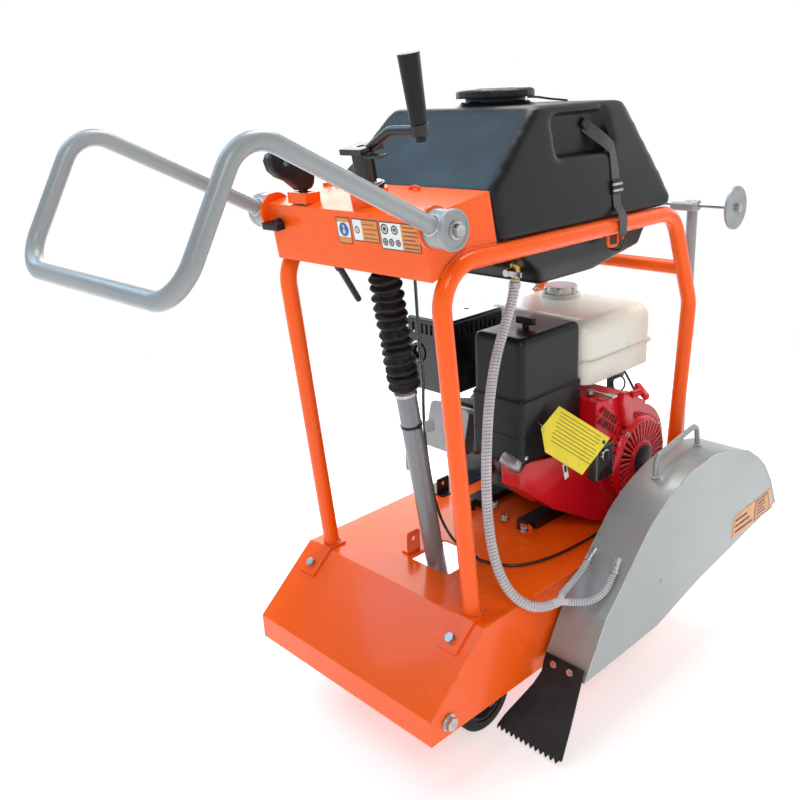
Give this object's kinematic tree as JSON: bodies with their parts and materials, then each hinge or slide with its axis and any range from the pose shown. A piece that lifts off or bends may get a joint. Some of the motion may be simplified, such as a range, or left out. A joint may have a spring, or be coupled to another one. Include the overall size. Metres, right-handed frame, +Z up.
{
  "type": "walk-behind concrete saw",
  "caption": "Petrol-driven walk-behind saw for cutting concrete floors: folded chassis on a tilting wheeled carriage, water tank, screw depth jack, lifting blade guard and front pointer.",
  "frame": {"origin": "on the ground, below the centre of the bounding box", "axes": "+Y the cutting direction, +X the operator's right, +Z up"},
  "size_m": [0.6433, 1.52, 1.3385],
  "materials": {
    "orange_paint": "gloss powder coat",
    "zinc": "zinc plated",
    "steel": "bright drawn",
    "grey_paint": "satin powder coat",
    "guard_paint": "satin powder coat",
    "black_steel": "semi gloss black",
    "tyre_rubber": "moulded",
    "rim_plastic": "moulded",
    "black_rubber": "moulded",
    "black_plastic": "rotomoulded, fine grain",
    "gloss_black": "smooth",
    "webbing": "woven",
    "brass": "cast and machined",
    "clear_hose": "clear with a spiral",
    "cast_grey": "die cast",
    "cover_silver": "pressed",
    "engine_red": "gloss",
    "tank_cream": "gloss",
    "chrome": "polished",
    "belt_rubber": "moulded",
    "muffler_black": "heat proof enamel",
    "disc_grey": "plain"
  },
  "bodies": {
    "carriage": {"carriage_frame": "orange_paint", "carriage_pins": "zinc"},
    "jack_head": {"jack_head": "black_steel", "jack_bellows": "black_rubber"},
    "jack_tube": {"jack_tube": "grey_paint"},
    "crank": {"jack_screw": "zinc", "crank_arm": "black_steel"},
    "crank_grip": {"crank_grip": "black_plastic"},
    "handlebar": {"handlebar": "grey_paint"},
    "lock_knob": {"lock_knob": "black_plastic"},
    "throttle_lever": {"throttle_lever": "black_plastic"},
    "tank_lid": {"tank_lid": "black_plastic"},
    "valve_lever": {"valve_lever": "chrome"},
    "engine_rotor": {"crankshaft": "steel", "engine_pulley": "steel"},
    "spindle": {"blade_spindle": "steel", "spindle_pulley": "steel"},
    "recoil_grip": {"recoil_grip": "engine_red"},
    "fuel_cap": {"fuel_cap": "chrome"},
    "engine_switch": {"engine_switch": "gloss_black"},
    "control_lever": {"control_lever": "zinc"},
    "blade_guard": {"blade_guard": "guard_paint", "guard_fittings": "zinc", "mud_flap": "black_rubber", "branch_hoses": "clear_hose", "hose_tee": "clear_hose"},
    "pointer_arm": {"pointer_arm": "grey_paint"},
    "pointer_rod": {"pointer_rod": "steel"},
    "pointer_disc": {"pointer_disc": "disc_grey"},
    "wheel_rear_left": {"wheel_rear_left_tyre": "tyre_rubber", "wheel_rear_left_rim": "rim_plastic"},
    "wheel_rear_right": {"wheel_rear_right_tyre": "tyre_rubber", "wheel_rear_right_rim": "rim_plastic"},
    "wheel_front_left": {"wheel_front_left_tyre": "tyre_rubber", "wheel_front_left_rim": "rim_plastic"},
    "wheel_front_right": {"wheel_front_right_tyre": "tyre_rubber", "wheel_front_right_rim": "rim_plastic"},
    "chassis": {"air_cleaner": "black_plastic", "belt_guard": "black_steel", "chassis_fasteners": "zinc", "console_panel": "orange_paint", "deck_plate": "orange_paint", "drive_belts": "belt_rubber", "engine_block": "cast_grey", "engine_rails": "black_steel", "fan_cover": "engine_red", "frame_brackets": "orange_paint", "frame_hoop_left": "orange_paint", "frame_hoop_right": "orange_paint", "fuel_tank": "tank_cream", "muffler": "muffler_black", "recoil_starter": "engine_red", "rocker_cover": "cover_silver", "side_plates": "orange_paint", "spindle_bearings": "steel", "switch_box": "gloss_black", "tank_strap": "webbing", "throttle_cable": "gloss_black", "water_fittings": "brass", "water_hose": "clear_hose", "water_tank": "black_plastic"}
  },
  "joints": [
    {"name": "depth_tilt", "type": "hinge", "parent": "carriage", "child": "chassis", "pos_m": [-0.048, -0.322, 0.176], "axis": [1, 0, 0], "range_deg": [-13, 0]},
    {"name": "wheel_rear_left_spin", "type": "hinge", "parent": "carriage", "child": "wheel_rear_left", "pos_m": [-0.208, -0.127, 0.075], "axis": [1, 0, 0], "continuous": true},
    {"name": "wheel_rear_right_spin", "type": "hinge", "parent": "carriage", "child": "wheel_rear_right", "pos_m": [0.112, -0.127, 0.075], "axis": [1, 0, 0], "continuous": true},
    {"name": "wheel_front_left_spin", "type": "hinge", "parent": "carriage", "child": "wheel_front_left", "pos_m": [-0.208, 0.283, 0.075], "axis": [1, 0, 0], "continuous": true},
    {"name": "wheel_front_right_spin", "type": "hinge", "parent": "carriage", "child": "wheel_front_right", "pos_m": [0.112, 0.283, 0.075], "axis": [1, 0, 0], "continuous": true},
    {"name": "jack_swing", "type": "hinge", "parent": "chassis", "child": "jack_head", "pos_m": [-0.023, -0.2265, 1.06], "axis": [1, 0, 0], "range_deg": [0, 1.5]},
    {"name": "jack_slide", "type": "slide", "parent": "jack_head", "child": "jack_tube", "axis": [0, -0.1644, 0.9864], "range_m": [0, 0.0571], "deforming": ["jack_bellows"]},
    {"name": "crank_turn", "type": "hinge", "parent": "jack_head", "child": "crank", "pos_m": [-0.023, -0.23917, 1.136], "axis": [0, -0.1644, 0.9864], "range_deg": [-4107, 0]},
    {"name": "crank_grip_spin", "type": "hinge", "parent": "crank", "child": "crank_grip", "pos_m": [0.118, -0.24657, 1.22905], "axis": [0, -0.1644, 0.9864], "continuous": true},
    {"name": "handle_fold", "type": "hinge", "parent": "chassis", "child": "handlebar", "pos_m": [-0.048, -0.267, 1.071], "axis": [1, 0, 0], "range_deg": [-40, 30]},
    {"name": "lock_knob_turn", "type": "hinge", "parent": "chassis", "child": "lock_knob", "pos_m": [-0.228, -0.2819, 1.052], "axis": [0, -0.9901, -0.1401], "range_deg": [-90, 90]},
    {"name": "throttle_squeeze", "type": "hinge", "parent": "chassis", "child": "throttle_lever", "pos_m": [-0.171, -0.266, 1.078], "axis": [1, 0, 0], "range_deg": [-10, 10]},
    {"name": "lid_lift", "type": "slide", "parent": "chassis", "child": "tank_lid", "axis": [0, 0, 1], "range_m": [0, 0.15]},
    {"name": "valve_turn", "type": "hinge", "parent": "chassis", "child": "valve_lever", "pos_m": [0.083, 0.01, 0.942], "axis": [0, 1, 0], "range_deg": [0, 90]},
    {"name": "engine_spin", "type": "hinge", "parent": "chassis", "child": "engine_rotor", "pos_m": [-0.048, 0.361, 0.468], "axis": [1, 0, 0], "continuous": true},
    {"name": "spindle_spin", "type": "hinge", "parent": "chassis", "child": "spindle", "pos_m": [-0.048, 0.398, 0.262], "axis": [1, 0, 0], "continuous": true},
    {"name": "recoil_pull", "type": "slide", "parent": "chassis", "child": "recoil_grip", "axis": [0.4198, 0.8996, 0.12], "range_m": [0, 0.3]},
    {"name": "fuel_cap_turn", "type": "hinge", "parent": "chassis", "child": "fuel_cap", "pos_m": [-0.098, 0.423, 0.804], "axis": [0, 0, 1], "range_deg": [0, 120]},
    {"name": "engine_switch_turn", "type": "hinge", "parent": "chassis", "child": "engine_switch", "pos_m": [0.18, 0.205, 0.53], "axis": [1, 0, 0], "range_deg": [0, 90]},
    {"name": "control_lever_turn", "type": "hinge", "parent": "chassis", "child": "control_lever", "pos_m": [0.11, 0.255, 0.637], "axis": [0, 0, 1], "range_deg": [-25, 25]},
    {"name": "guard_lift", "type": "hinge", "parent": "chassis", "child": "blade_guard", "pos_m": [0.22, 0.695, 0.322], "axis": [1, 0, 0], "range_deg": [-45, 0], "deforming": ["mud_flap", "water_hose"]},
    {"name": "pointer_fold", "type": "hinge", "parent": "chassis", "child": "pointer_arm", "pos_m": [0.132, 0.607, 0.3], "axis": [1, 0, 0], "range_deg": [-95, 0]},
    {"name": "pointer_extend", "type": "slide", "parent": "pointer_arm", "child": "pointer_rod", "axis": [1, 0, 0], "range_m": [-0.06, 0.06]},
    {"name": "pointer_disc_spin", "type": "hinge", "parent": "pointer_rod", "child": "pointer_disc", "pos_m": [0.234, 0.607, 1.002], "axis": [1, 0, 0], "continuous": true}
  ],
  "couplings": [
    {"joint": "jack_swing", "follows": "depth_tilt", "ratio": -0.1117},
    {"joint": "jack_slide", "follows": "depth_tilt", "m_per_rad": -0.25078},
    {"joint": "crank_turn", "follows": "depth_tilt", "ratio": 315.14},
    {"joint": "spindle_spin", "follows": "engine_spin", "ratio": 0.86538}
  ]
}
